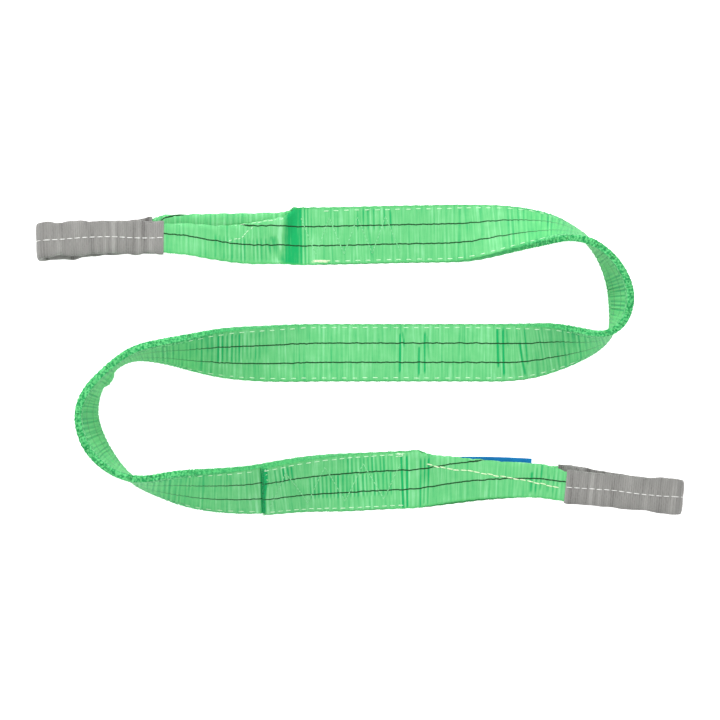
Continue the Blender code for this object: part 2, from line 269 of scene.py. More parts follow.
BODIES = [
    "eye_a",
    "top_run",
    "right_bend_far",
    "right_bend_near",
    "middle_run",
    "left_bend_near",
    "left_bend_far",
    "bottom_run",
    "eye_b",
]
CROSSINGS = [root_a, *right_hinges, *left_hinges, root_b]
FOLD_A, FOLD_B = 0, len(CROSSINGS) - 1
BLEND_REACH = 0.016
LEG_REACH = 0.030  # how far each way from an eye's root the pieces held at its root's crossing go


def crossing_lengths():
    """The stretch of the route that goes with each of the bends' hinges: (crossing, first, last)."""
    hinges = CROSSINGS[1:-1]
    middles = [(a + b) / 2 for a, b in zip(hinges, hinges[1:])]
    firsts = [root_a + LEG_REACH, *middles]
    lasts = [*middles, root_b - LEG_REACH]
    return [(i + 1, a, b) for i, (a, b) in enumerate(zip(firsts, lasts))]


def bend_with(piece, crossing):
    """Bakes the piece's placement into its mesh where it lies; the joint's place and way along the route are
    worked out but not used, and the piece does not turn with it.
    """
    s = CROSSINGS[crossing]
    middle = route.floor(s)
    step = BLEND_REACH * route.tangent(s)
    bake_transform(piece)


def hold(piece, slot, body=None, crossing=None):
    """The piece rides on a body, or has its placement baked into its mesh where it lies at a crossing. slot,
    which names one of the record's materials, is not used.
    """
    if crossing is None:
        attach(piece, body)
    else:
        bend_with(piece, crossing)


# ---------------------------------------------------------------- unevenness of the weave

rng = np.random.RandomState(11)


def wave_table(count, shortest, longest, slant):
    """Waves for waves(): the pitch, the phase and the slant of each."""
    limits = ((shortest, longest), (0, 6.28), (-slant, slant))
    return [tuple(rng.uniform(*pair) for pair in limits) for _ in range(count)]


RIBS = wave_table(9, 0.0030, 0.0062, 6)
SWELLS = wave_table(6, 0.018, 0.060, 25)


def waves(table, s, across):
    """Smooth unevenness between about -1 and 1, in ridges that run across the webbing."""
    total = 0
    for pitch, phase, slant in table:
        wander = 0.7 * np.sin(across * 60 + phase * 3) + 0.7 * np.sin(s * 31 + phase)
        total = total + np.sin(2 * math.pi * s / pitch + phase + slant * across + wander)
    return total / math.sqrt(len(table))


# Creases: x, from and to across the webbing (+ is towards +Y), slant, depth, width. Lengths in millimetres.
MIDDLE_CREASES = [
    (41.5, -19, 18, 0.0, 1.0, 1.0),
    (47, 8, 20, 0.1, 0.9, 1.0),
    (61.5, -22, 5, 0.0, 1.0, 1.1),
    (67.5, -20, 20, 0.0, 1.0, 1.0),
    (72, -6, 16, 0.1, 0.4, 1.0),
    (144, -14, 24, 0.02, 0.9, 1.2),
    (149.3, -22, 24, 0.0, 0.8, 1.2),
    (154.5, 8, 24, 0.05, 0.6, 1.0),
    (167, -24, 10, 0.1, 0.8, 1.2),
    (173, -12, 26, 0.0, 0.6, 1.3),
    (20, -6, 14, 0.0, 0.2, 1.2),
    (-30, -20, 4, 0.0, 0.2, 1.4),
]
TOP_CREASES = [
    (-70.5, -30, 30, -0.05, 0.95, 8.2),
    (-61, -30, 30, 0.0, 0.9, 1.0),
    (-57.5, -30, 30, 0.0, 0.8, 0.9),
    (-53.8, -30, 30, 0.0, 0.7, 0.9),
    (-50, -2, 30, 0.0, 0.4, 0.9),
    (-91, -26, -2, 0.30, 0.55, 3.6),
    (-83.5, -30, 8, -0.10, -0.5, 1.9),
    (-99, -28, -6, 0.35, 0.35, 1.6),
    (10, -22, 4, 0.1, 0.3, 1.2),
    (33, -8, 22, 0.0, 0.3, 1.2),
    (104, -10, 26, 0.0, 0.3, 1.6),
    (128, -5, 29, 0.0, 0.4, 1.8),
]
BOTTOM_CREASES = [
    (-100.4, -30, 30, 0.08, 1.2, 2.9),
    (-47, -13, 10, 0.0, 0.35, 1.0),
    (-42.5, -11, 10, 0.0, 0.35, 1.0),
    (-30, -9, 5, 0.0, 0.3, 1.0),
    (-12, -9, 5, 0.0, 0.3, 1.0),
    (43.8, -29, 24, 0.0, 1.1, 1.1),
    (177.5, -24, -4, 0.0, 0.8, 1.5),
    (183.0, -24, 0, 0.0, 0.6, 1.0),
    (187.5, -20, 14, 0.0, 0.6, 1.2),
    (179.0, 6, 20, 0.0, 0.5, 1.1),
    (196.0, -22, -6, 0.0, 0.5, 1.0),
    (201.0, -22, -6, 0.0, 0.4, 1.0),
    (49, -29, 24, 0.03, 1.2, 1.1),
    (62.5, -29, 20, 0.0, 0.9, 1.0),
    (66.5, -26, 20, 0.0, 0.8, 0.9),
    (70.5, -28, 18, 0.0, 0.9, 1.0),
    (-78, 12, 26, 0.0, 0.5, 1.0),
    (-74, 14, 26, 0.0, 0.5, 1.0),
    (-70, 12, 26, 0.0, 0.4, 1.0),
]


def spaced(first, last, step, low, high, depth):
    """A row of creases of one depth."""
    return [(x, low, high, 0.0, depth, 1.0) for x in np.arange(first, last, step)]


MIDDLE_CREASES += spaced(-147, -122, 4.4, -8, 24, 0.75)
MIDDLE_CREASES += spaced(-122, -100, 4.4, -4, 24, 0.45)
BOTTOM_CREASES += spaced(-52, 34, 4.2, -14, 9, 0.55)
BOTTOM_CREASES += spaced(-12, 38, 4.2, 9, 25, 0.60)
BOTTOM_CREASES += spaced(-96, -66, 4.6, 8, 24, 0.50)
TOP_CREASES += spaced(-150, -84, 4.3, -26, -5, 0.40)
TOP_CREASES += spaced(-2, 34, 5.6, 6, 26, 0.50)
# Which way across grows on the floor: the middle run's right is +Y, and the bottom run is rolled over
SIDE_UP = {"middle": 1, "top": -1, "bottom": 1}
creases = []
for name, table, span in (
    ("middle", MIDDLE_CREASES, middle_span),
    ("top", TOP_CREASES, (0, right_hinges[0])),
    ("bottom", BOTTOM_CREASES, (left_hinges[2], route.length)),
):
    for x, low, high, slant, depth, width in table:
        low, high = sorted((low * SIDE_UP[name], high * SIDE_UP[name]))
        creases.append((route.at_x(x, *span), low / 1000, high / 1000, slant, depth, width / 1000))

# Creases across the inner sides of the bends: x, and each y, on the floor in millimetres
BEND_CREASES = [
    (270, (88, 84, 80, 76, 72, 67, 61.5, 57, 53)),
    (-278, (-36, -40, -45, -48.6, -54, -59.4, -63.5)),
]
BEND_CREASE = (-0.029, 0.023, 0.0, 0.62, 0.00085)  # from and to across the webbing, slant, depth and width
for x, places in BEND_CREASES:
    creases += [(route.nearest((x, y)), *BEND_CREASE) for y in places]

# The stretches where ridges roughen the webbing, as it is pressed together along the inner sides of the bends
BEND_ROUGHNESS = [
    (right_hinges[0] - 0.10, right_hinges[2] + 0.10),
    (left_hinges[0] - 0.13, left_hinges[2] + 0.12),
]
ROUGHNESS_FADE = 0.06

# One ply bulges towards the inside of the left bend: place, height, and reach along the webbing
BULGE_PLACE, BULGE_HEIGHT, BULGE_REACH = route.nearest((-266, -16)), 0.0042, 0.0085

RIB_HEIGHT = 0.00006
BEND_RIB_HEIGHT = 0.00026  # added in the bends
SWELL_HEIGHT = 0.00012
GROOVE_DEPTH = 0.00034
RIM_HEIGHT = 0.00012


def roughness_share(s):
    """1 in the bends and 0 in the flat runs."""
    fade = ROUGHNESS_FADE
    return sum(ramp(s, a, a + fade) * (1 - ramp(s, b - fade, b)) for a, b in BEND_ROUGHNESS)


def standing(s):
    """1 where the webbing stands on its edge and 0 where it lies flat."""
    return ramp(np.abs(np.sin(route.roll(s))), 0.60, 1.0)


def relief(s, across):
    """Height of the outer face over the plain webbing, and its painted shading: painted shade under 0 and
    painted highlight over 0, on the ribs, swells, bends and creases.
    """
    rough = roughness_share(s)
    ribs = waves(RIBS, s, across)
    swells = waves(SWELLS, s, across)
    bulge = np.exp(-(((s - BULGE_PLACE) / BULGE_REACH) ** 4)) * ramp(across, 0.004, -0.028)
    height = (RIB_HEIGHT + BEND_RIB_HEIGHT * rough) * ribs + SWELL_HEIGHT * swells
    height = height + BULGE_HEIGHT * bulge
    # Painted light and shade: lighter on the crests of the ribs and swells, darker in their hollows, and
    # painted shade over the whole of each bend
    tone = (0.20 + 0.44 * rough) * ribs + 0.12 * swells - 0.34 * rough
    for place, low, high, slant, depth, width in creases:
        near = np.abs(s[:, 0] - place) < max(0.006, 3.5 * width)
        if not near.any():
            continue
        a = across[near]
        d = (s[near] - place - slant * a) / width
        inside = ramp(a, low - 0.003, low + 0.001) * (1 - ramp(a, high - 0.001, high + 0.003))
        groove = np.exp(-(d**4)) * inside * depth
        rims = (np.exp(-((d - 2) ** 2)) + np.exp(-((d + 2) ** 2))) * inside * min(depth, 0.8)
        height[near] += RIM_HEIGHT * rims - GROOVE_DEPTH * groove
        # Painted shade in the crease's groove, and a painted highlight on its rims
        tone[near] += 0.40 * rims - 1.9 * groove
    return height, tone


# ---------------------------------------------------------------- meshes


def new_object(name, data):
    """An object in the scene with this mesh, light or camera."""
    made = bpy.data.objects.new(name, data)
    bpy.context.scene.collection.objects.link(made)
    return made


def new_piece(name, points, faces, material, sharp=60, **attributes):
    """A mesh piece in world coordinates. Each attribute has a number or a vector for each point."""
    points = points.reshape(-1, 3)
    mesh = bpy.data.meshes.new(name)
    mesh.from_pydata(points.tolist(), [], faces)
    mesh.update()
    for key, values in attributes.items():
        single = values.size == len(points)
        layer = mesh.attributes.new(key, "FLOAT" if single else "FLOAT_VECTOR", "POINT")
        layer.data.foreach_set("value" if single else "vector", values.astype(np.float32).ravel())
    mesh.shade_smooth()
    mesh.set_sharp_from_angle(angle=math.radians(sharp))
    mesh.materials.append(material)
    return new_object(name, mesh)


def make_outward(piece):
    """Turns the faces outward if the closed mesh is inside out."""
    mesh = piece.data
    points = np.empty(len(mesh.vertices) * 3)
    mesh.vertices.foreach_get("co", points)
    points = points.reshape(-1, 3)
    mesh.calc_loop_triangles()
    corners = np.empty(len(mesh.loop_triangles) * 3, dtype=int)
    mesh.loop_triangles.foreach_get("vertices", corners)
    a, b, c = (points[corners.reshape(-1, 3)[:, i]] for i in range(3))
    if np.einsum("ij,ij->i", a, np.cross(b, c)).sum() < 0:
        mesh.flip_normals()


def ring_faces(rings, size, closed=False):
    """The faces of a tube of rings of the same size, with a cap on each open end."""
    i = np.arange(rings if closed else rings - 1)[:, None]
    j = np.arange(size)[None, :]
    nxt = (i + 1) % rings
    k = (j + 1) % size
    quads = np.stack([i * size + j, i * size + k, nxt * size + k, nxt * size + j], -1)
    quads = quads.reshape(-1, 4).tolist()
    if not closed:
        quads.append(list(range(size))[::-1])
        quads.append([(rings - 1) * size + n for n in range(size)])
    return quads


# The webbing's cross-section: places over its width, closer at the selvages, and how thick it is at each
INNER_COLUMNS = np.linspace(-0.92, 0.92, 25)
COLUMNS = np.concatenate([[-1, -0.992, -0.965], INNER_COLUMNS, [0.965, 0.992, 1]]) * HALF_WIDTH
EDGE_SHAPE = np.interp(np.abs(COLUMNS), [0.0284, 0.0291, 0.0298, 0.0300], [1, 0.97, 0.88, 0.70])
DASH_PITCH = 0.0107
SCALLOP = 0.00022  # how far each edge stitch pulls the selvage in
RAGGED = 0.00012  # how far a selvage wanders
BEND_RAGGED = 0.00035  # added in the bends
VISUAL_SPLAY = 0.55  # share of the CAD plies' splay; the rest closes up between the plies


def webbing_rings(s, place, outer_side=1, fill=1):
    """The rings of a strip of webbing, with their web and painted shading.

    place(s, across, out) gives points; out is from the strip's own middle. fill is 1 where the strip also
    fills out towards the other ply in the bends. web is s, across, and how far the webbing stands on edge.
    """
    grid_s, grid_a = np.meshgrid(s, COLUMNS, indexing="ij")
    height, tone = relief(grid_s, grid_a)
    top = PLY / 2 * EDGE_SHAPE + height * EDGE_SHAPE**2
    inner_shape = 1 - 0.25 * (1 - EDGE_SHAPE)
    bottom = -PLY / 2 * inner_shape - fill * (VISUAL_SPLAY * route.splay(grid_s) + 0.45 * GAP)
    ragged = (RAGGED + BEND_RAGGED * roughness_share(grid_s)) * waves(RIBS, 1.9 * grid_s, grid_a)
    pull = SCALLOP * np.cos(2 * math.pi * grid_s / DASH_PITCH) + ragged
    shaped = grid_a + np.sign(grid_a) * pull * ramp(np.abs(grid_a), 0.024, 0.030)
    outer = place(grid_s, shaped, outer_side * top)
    inner = place(grid_s, shaped, outer_side * bottom)
    points = np.concatenate([outer, inner[:, ::-1]], 1)
    points[..., 2] = np.maximum(points[..., 2], 0)
    web = np.stack([grid_s, grid_a, standing(grid_s)], -1)
    web = np.concatenate([web, web[:, ::-1]], 1)
    # The inner face gets a weaker copy of the painted shade and highlight
    tone = np.concatenate([tone, 0.3 * tone[:, ::-1]], 1)
    return points, web, tone


def webbing_piece(name, s, place, side, crossing=None, body=None):
    """A flat strip of webbing. side is +1 on the face ply's side and -1 on the back ply's."""
    points, web, tone = webbing_rings(s, place, outer_side=side)
    faces = ring_faces(*points.shape[:2])
    if side > 0:
        faces = [f[::-1] for f in faces]
    piece = new_piece(name, points, faces, green_webbing, web=web, tone=tone)
    hold(piece, "green_webbing", body, crossing)


# ---------------------------------------------------------------- materials


class Nodes:
    """A material's node tree, built in a few words."""

    def __init__(self, name):
        self.material = bpy.data.materials.new(name)
        self.material.use_nodes = True
        self.tree = self.material.node_tree
        self.shader = self.tree.nodes["Principled BSDF"]

    def add(self, kind, inputs=None, **settings):
        node = self.tree.nodes.new(kind)
        for key, value in settings.items():
            setattr(node, key, value)
        for key, value in (inputs or {}).items():
            self.put(node.inputs[key], value)
        return node

    def put(self, socket, value):
        """Links a socket to the value, or sets it. A colour is given as three numbers."""
        if isinstance(value, bpy.types.NodeSocket):
            self.tree.links.new(value, socket)
        elif socket.type == "RGBA":
            socket.default_value = (*value, 1)
        else:
            socket.default_value = value

    def maths(self, operation, *values):
        node = self.add("ShaderNodeMath", operation=operation)
        for socket, value in zip(node.inputs, values):
            self.put(socket, value)
        return node.outputs[0]

    def plus(self, a, b):
        return self.maths("ADD", a, b)

    def minus(self, a, b):
        return self.maths("SUBTRACT", a, b)

    def times(self, a, b):
        return self.maths("MULTIPLY", a, b)

    def about(self, value, gain):
        """A value of 0 to 1 as one around 0, made larger by the gain."""
        return self.times(self.minus(value, 0.5), gain)

    def wave(self, value, pitch, shift=0.0):
        """A sine wave of this pitch."""
        return self.maths("SINE", self.plus(self.times(value, 2 * math.pi / pitch), shift))

    def band(self, value, start, end):
        """0 at start and 1 at end, smoothly."""
        node = self.add("ShaderNodeMapRange", interpolation_type="SMOOTHSTEP")
        for key, v in (("Value", value), ("From Min", start), ("From Max", end)):
            self.put(node.inputs[key], v)
        return node.outputs[0]

    def mix(self, factor, a, b):
        """Colour a where the factor is 0 and b where it is 1."""
        node = self.add("ShaderNodeMix", data_type="RGBA")
        self.put(node.inputs[0], factor)
        self.put(node.inputs[6], a)
        self.put(node.inputs[7], b)
        return node.outputs[2]

    def attribute(self, name):
        return self.add("ShaderNodeAttribute", attribute_name=name)

    def position(self):
        return self.add("ShaderNodeNewGeometry").outputs["Position"]

    def web(self):
        """The web attribute, and its three parts."""
        web = self.attribute("web").outputs["Vector"]
        return web, *self.add("ShaderNodeSeparateXYZ", {"Vector": web}).outputs

    def noise(self, vector, scale, detail=2.0):
        """Noise of 0 to 1. A scale of three numbers stretches it."""
        if isinstance(scale, tuple):
            vector = self.add("ShaderNodeMapping", {"Vector": vector, "Scale": scale}).outputs[0]
            scale = 1.0
        node = self.add("ShaderNodeTexNoise", {"Vector": vector, "Scale": scale, "Detail": detail})
        return node.outputs[0]

    def finish(self, colour, roughness, bumps=(), **fixed):
        """The material. bumps are (height socket, distance); fixed sets the shader's other inputs."""
        self.put(self.shader.inputs["Base Color"], colour)
        self.put(self.shader.inputs["Roughness"], roughness)
        normal = None
        for height, distance in bumps:
            node = self.add("ShaderNodeBump", {"Height": height, "Distance": distance, "Strength": 1.0})
            if normal is not None:
                self.put(node.inputs["Normal"], normal)
            normal = node.outputs[0]
        if normal is not None:
            self.put(self.shader.inputs["Normal"], normal)
        for key, value in fixed.items():
            self.shader.inputs[key.replace("_", " ")].default_value = value
        return self.material


STRIPE_PLACE = 0.0100  # of each woven stripe, from the webbing's middle
STRIPE_HALF = 0.00054
STRIPE_BLUR = 0.0003


def make_webbing_material():
    """Ribbed green webbing with denser selvages and two dark stripes; painted shade makes it deeper green
    where it stands on edge, and painted shade and highlight follow its ribs, bends and creases.
    """
    n = Nodes("green_webbing_weave")
    web, along, across, upright = n.web()
    tone = n.attribute("tone").outputs["Fac"]
    # Weft streaks run over the width, warp lines along the length
    streaks = n.noise(web, (460.0, 22.0, 0.0))
    patches = n.noise(web, (60.0, 90.0, 0.0))
    warp = n.wave(across, 0.0021)
    weft = n.wave(along, 0.0017, n.times(warp, 1.4))
    weave = n.times(warp, weft)
    # lift adds the random lighter and darker streaks and patches of the weave to the painted shade and
    # highlight of the ribs, bends and creases, and picks between a darker and a lighter green
    lift = n.plus(n.about(streaks, 1.5), n.times(tone, 0.55))
    lift = n.plus(lift, n.about(patches, 0.5))
    lift = n.plus(lift, n.times(weave, 0.05))
    colour = n.mix(n.band(lift, -0.05, 0.7), (0.120, 0.488, 0.176), (0.240, 0.630, 0.312))
    # Painted shade: a deeper, darker green where the webbing stands on edge
    colour = n.mix(n.times(upright, 0.60), colour, (0.045, 0.500, 0.110))
    # Painted shade: nearly black-green in the deepest creases
    colour = n.mix(n.band(lift, 0.12, -0.95), colour, (0.001, 0.335, 0.092))
    # The selvages are denser and darker
    edge = n.maths("ABSOLUTE", across)
    loops = n.noise(n.position(), 420.0)
    speckle = n.plus(n.times(n.noise(web, (520.0, 330.0, 0.0)), 0.35), n.times(loops, 0.65))
    colour = n.mix(n.times(n.band(edge, 0.0272, 0.0290), 0.45), colour, (0.060, 0.40, 0.095))
    # Their lips are coarse loops of thread, which take more of the width where the webbing stands
    ragged = n.plus(n.about(loops, 0.006), 0.0070)
    lip = n.band(n.plus(edge, n.times(upright, ragged)), 0.0288, 0.0300)
    # Painted shade and painted highlight on the lips' thread loops: a darker and a lighter green picked by the
    # speckle, further apart where the webbing stands
    lip_shaded = n.mix(upright, (0.020, 0.300, 0.085), (0.002, 0.250, 0.065))
    lip_highlit = n.mix(upright, (0.065, 0.440, 0.135), (0.130, 0.600, 0.215))
    lip_colour = n.mix(n.band(speckle, 0.42, 0.58), lip_shaded, lip_highlit)
    colour = n.mix(n.times(lip, 0.85), colour, lip_colour)
    # The two dark stripes wander a little
    wander = n.about(n.noise(web, (120.0, 0.0, 0.0), 4.0), 0.0032)
    fray = n.about(n.noise(web, (700.0, 0.0, 0.0), 1.0), 0.0006)
    away = n.maths("ABSOLUTE", n.minus(n.plus(edge, wander), STRIPE_PLACE))
    stripe = n.minus(1.0, n.band(n.plus(away, fray), STRIPE_HALF, STRIPE_HALF + STRIPE_BLUR))
    strength = n.minus(0.97, n.times(upright, 0.45))
    colour = n.mix(n.times(stripe, strength), colour, (0.002, 0.034, 0.007))
    rough = n.plus(0.56, n.times(streaks, 0.22))
    bumps = [(streaks, 0.00030), (weave, 0.00007), (n.times(speckle, lip), 0.0012)]
    return n.finish(colour, rough, bumps, Sheen_Weight=0.10, Sheen_Roughness=0.5, Specular_IOR_Level=0.16)


def make_sleeve_material():
    """Matte grey plain weave with random clouding, and painted shade and highlight along its wrinkles, with
    more painted shade on the lower leg's side and on the inner wall.
    """
    n = Nodes("grey_sleeve_weave")
    web, along, round_way, _ = n.web()
    tone = n.attribute("tone").outputs["Fac"]
    weave = n.times(n.wave(round_way, 0.0019), n.wave(along, 0.0016))
    rib = n.wave(along, 0.0023)
    cloud = n.noise(web, (160.0, 45.0, 1.0), 3.0)
    fine = n.noise(web, (900.0, 700.0, 1.0), 1.0)
    # lift adds the random clouding to the painted shade and highlight that the mesh carries
    lift = n.plus(n.times(tone, 0.5), n.about(cloud, 1.2))
    lift = n.plus(lift, n.about(fine, 0.6))
    lift = n.plus(lift, n.times(rib, 0.20))
    colour = n.mix(n.band(lift, 0.0, 0.9), (0.222, 0.219, 0.208), (0.300, 0.296, 0.282))
    # Painted shade: dark grey in the deepest wrinkles, and where the painted shade of the lower side and the
    # inner wall falls
    colour = n.mix(n.band(lift, -0.1, -1.1), colour, (0.105, 0.099, 0.095))
    bumps = [(cloud, 0.0005), (weave, 0.00012), (fine, 0.0001), (rib, 0.00015)]
    return n.finish(colour, 0.85, bumps, Sheen_Weight=0.2, Sheen_Roughness=0.6, Specular_IOR_Level=0.25)


def make_thread_material(name, light, dark):
    """Sewing thread, with the two tones of its twist."""
    n = Nodes(name)
    grain = n.noise(n.position(), 900.0)
    colour = n.mix(n.band(grain, 0.3, 0.7), dark, light)
    return n.finish(colour, 0.6, [(grain, 0.0002)], Sheen_Weight=0.1, Specular_IOR_Level=0.2)


def make_label_material():
    """Plain blue satin."""
    n = Nodes("blue_label_satin")
    web = n.web()[0]
    grain = n.noise(web, (1200.0, 300.0, 1.0))
    cloud = n.noise(web, (60.0, 60.0, 1.0))
    colour = n.mix(n.band(cloud, 0.3, 0.7), (0.001, 0.145, 0.38), (0.002, 0.185, 0.47))
    colour = n.mix(n.times(grain, 0.2), colour, (0.004, 0.17, 0.46))
    return n.finish(colour, 0.5, [(grain, 0.0001)], Specular_IOR_Level=0.12)


def make_floor_material():
    """A pale plain floor, lit a little from within so that it stays even."""
    n = Nodes("pale_floor")
    grain = n.noise(n.position(), 40.0)
    colour = n.mix(grain, (0.93, 0.93, 0.93), (0.95, 0.95, 0.95))
    n.put(n.shader.inputs["Emission Color"], (1.0, 1.0, 1.0))
    n.put(n.shader.inputs["Emission Strength"], 0.6)
    return n.finish(colour, 0.9, Specular_IOR_Level=0.1)


green_webbing = make_webbing_material()
grey_sleeve = make_sleeve_material()
white_thread = make_thread_material("white_thread_twist", (0.64, 0.82, 0.61), (0.32, 0.66, 0.35))
sleeve_thread = make_thread_material("sleeve_thread_twist", (0.80, 0.80, 0.78), (0.56, 0.56, 0.54))
cream_thread = make_thread_material("cream_thread_twist", (0.78, 0.84, 0.60), (0.46, 0.70, 0.38))
green_thread = make_thread_material("green_thread_twist", (0.25, 0.63, 0.32), (0.11, 0.46, 0.17))
dark_thread = make_thread_material("dark_green_thread_twist", (0.003, 0.30, 0.085), (0.001, 0.16, 0.045))
blue_label = make_label_material()


# ---------------------------------------------------------------- the plies of the runs and bends

RING_STEP = 0.0009


def stations(first, last):
    """Where the rings of a strip go."""
    return np.linspace(first, last, max(round((last - first) / RING_STEP), 4) + 1)


def ply_place(side, layer=0):
    """Where a strip lies: the face ply has side +1 and the back ply -1, and layer 1 is sewn on outside."""

    def place(s, across, out):
        lift = (PLY + GAP) / 2 + layer * (PLY + LAYER_GAP) + VISUAL_SPLAY * route.splay(s)
        return route.point(s, across, side * lift + out)

    return place


PLY_NAMES = {1: "face", -1: "back"}
for side in (1, -1):
    for crossing, first, last in crossing_lengths():
        name = f"web_{PLY_NAMES[side]}_{BODIES[crossing]}_{BODIES[crossing + 1]}"
        webbing_piece(name, stations(first, last), ply_place(side), side, crossing)

CUT_SLANT = 0.075  # the overlap is not cut quite square
CUT_FADE = 0.020


def slanted(s, across):
    """Where a point s along the overlap lies once its end is cut on the slant."""
    wave = 0.0004 * np.sin(across * 160)
    return s + (CUT_SLANT * across + wave) * (1 - ramp(s, overlap_start, overlap_start + CUT_FADE))


def overlap_place(s, across, out):
    """Where the overlap lies, which is sewn onto the back ply."""
    return ply_place(-1, 1)(slanted(s, across), across, out)


overlap_end = root_b - LEG_REACH
webbing_piece("web_overlap", stations(overlap_start, overlap_end), overlap_place, -1, body="bottom_run")
webbing_piece("web_back_end", stations(overlap_end, root_b - 0.001), ply_place(-1), -1, FOLD_B)


# ---------------------------------------------------------------- the eyes

FOLD_RADIUS = 0.00155  # of the middle of the webbing where it is folded double
FOLD_OUTER = FOLD_RADIUS + PLY / 2
FOLD_STEP = 2 * FOLD_RADIUS  # from one layer of a fold to the other
FOLD_LENGTH = math.pi * FOLD_RADIUS
FULL = 2 * HALF_WIDTH
SLEEVED_HALF = 0.0155  # of the folded webbing's width inside the sleeve


def fold_double(columns, straight):
    """The angle that each place over the width has turned by, and how far it lies beyond the fold.

    straight is the width that the first layer takes.
    """
    turn = np.clip(columns - straight, 0, FOLD_LENGTH) / FOLD_RADIUS
    return turn, np.maximum(columns - straight - FOLD_LENGTH, 0)


class Eye:
    """An eye: its webbing is folded double lengthwise, with the fold on the +Y side, and sleeved at its end.

    way is the direction along the route from root to crown. crossing is the joint at its root. base is the
    height of the upper leg's middle at the root. upper and lower are rows of (distance from the root, +Y edge,
    -Y edge) in millimetres, the edges measured from the route. skew(d) is how far the lower leg lies to the
    route's right, d from the root. lower_mouth is how much further out the sleeve ends on the lower leg than
    on the upper one. creased is how wrinkled the sleeve is.
    """

    def __init__(
        self, name, root, crown, crossing, base, sleeve_length, skew, lower_mouth, creased, upper, lower
    ):
        self.name, self.root, self.crossing = name, root, crossing
        self.lower_mouth, self.creased = lower_mouth, creased
        self.base, self.skew = base, skew
        self.way = math.copysign(1, crown - root)
        self.reach = abs(crown - root)
        self.mouth = self.reach - sleeve_length
        self.low = SLEEVE_WALL + GAP + FOLDED_PLY / 2
        self.high = self.low + LEG_HEIGHT + EYE_GAP
        self.turn = (self.high - self.low) / 2
        self.straight = self.reach - self.turn - LEG_HEIGHT / 2
        self.length = 2 * self.straight + math.pi * self.turn
        self.upper = np.array(upper + [self.mouth_edges(self.mouth, 0)]) / 1000
        lower_mouth = self.mouth + self.lower_mouth
        self.lower = np.array(lower + [self.mouth_edges(lower_mouth, -float(skew(lower_mouth)))]) / 1000

    def mouth_edges(self, d, middle):
        """The last row of a leg's edges, at the sleeve's mouth."""
        return 1000 * d, 1000 * (middle + SLEEVED_HALF), 1000 * (middle - SLEEVED_HALF)

    def edges(self, d, upper):
        """The +Y and -Y edges of a leg, from the route."""
        table = self.upper if upper else self.lower
        fine = np.linspace(table[0, 0], table[-1, 0], 160)
        near = [soft_mean(np.interp(fine, table[:, 0], table[:, c]), 3) for c in (1, 2)]
        plus, minus = (np.interp(d, fine, column) for column in near)
        shift = 0 if upper else -np.vectorize(self.skew)(d)
        sleeved = d > self.mouth + (0 if upper else self.lower_mouth)
        plus = np.where(sleeved, shift + SLEEVED_HALF, plus)
        minus = np.where(sleeved, shift - SLEEVED_HALF, minus)
        return plus, minus

    def heights(self, d, upper):
        """Heights of a leg's outer layer on its folded side and on its other side."""
        top = 0.9 * self.mouth
        if upper:
            end = self.high + FOLD_RADIUS
            stacked = self.base + 2 * FOLD_STEP
            folded = self.base + 2 * FOLD_STEP * ramp(d, -0.012, 0.008)
            folded = folded + (end - stacked) * ramp(d, 0.012, top)
            plain = self.base + (end - self.base) * ramp(d, 0.0, top)
            return folded, plain
        level = PLY / 2 + (self.low - FOLD_RADIUS - PLY / 2) * ramp(d, 0.0, top)
        return level, level

    def section(self, d, columns, upper, outs):
        """Points of the folded webbing d from the root.

        columns are lengths from the -Y edge. outs is the height over the webbing's own middle, towards the
        outside of the eye.
        """
        plus, minus = self.edges(d, upper)
        visible = plus - minus
        straight = np.minimum(visible - FOLD_OUTER * ramp(FULL - visible, 0.0, 0.004), FULL)
        turn, beyond = fold_double(columns, straight)
        y = minus + np.minimum(columns, straight) + (FOLD_RADIUS + outs) * np.sin(turn) - beyond
        depth = -FOLD_RADIUS * (1 - np.cos(turn)) + outs * np.cos(turn)
        folded, plain = self.heights(d, upper)
        flap_edge = straight - np.maximum(FULL - straight - FOLD_LENGTH, 0)
        share = ramp(columns - flap_edge, -0.030, 0.008)
        outer = plain + (folded - plain) * share
        z = outer + (depth if upper else -depth)
        s = self.root + self.way * d
        return route.floor(s) - y[..., None] * route.right(s) + z[..., None] * UP

    def crown(self, bend, columns, outs):
        """Points of the folded webbing round the crown, bend radians from the upper leg."""
        d = self.straight + self.turn * np.sin(bend)
        lower = (1 - np.cos(bend)) / 2
        straight = 2 * SLEEVED_HALF - FOLD_OUTER
        turn, beyond = fold_double(columns, straight)
        y = np.minimum(columns, straight) + (FOLD_RADIUS + outs) * np.sin(turn) - beyond - SLEEVED_HALF
        y = y - np.vectorize(self.skew)(d) * lower
        return self.place(d, bend, y, (FOLD_RADIUS + outs) * np.cos(turn))

    def place(self, d, bend, y, depth):
        """A point y to +Y of the route and depth outside the middle of the sleeved loop."""
        s = self.root + self.way * d
        middle = self.low + (self.high - self.low) * (1 + np.cos(bend)) / 2
        out_along = (self.way * np.sin(bend) * depth)[..., None] * route.tangent(s)
        z = middle + np.cos(bend) * depth
        return route.floor(s) + out_along - y[..., None] * route.right(s) + z[..., None] * UP

    def loop_point(self, q, y, depth):
        """A point on the loop at q along it from the root, for what lies on or round its sleeved part."""
        bend = np.clip((q - self.straight) / self.turn, 0, math.pi)
        crown = self.straight + self.turn * np.sin(bend)
        d = np.where(q < self.straight, q, np.where(bend < math.pi, crown, self.length - q))
        lower = (1 - np.cos(bend)) / 2
        return self.place(d, bend, y - np.vectorize(self.skew)(d) * lower, depth)

    def top(self, d, n):
        """A point on the upper face of the upper leg, n to +Y of the route."""
        _, minus = self.edges(d, True)
        return self.section(d, np.maximum(n - minus, 0), True, PLY / 2 + 0 * d)


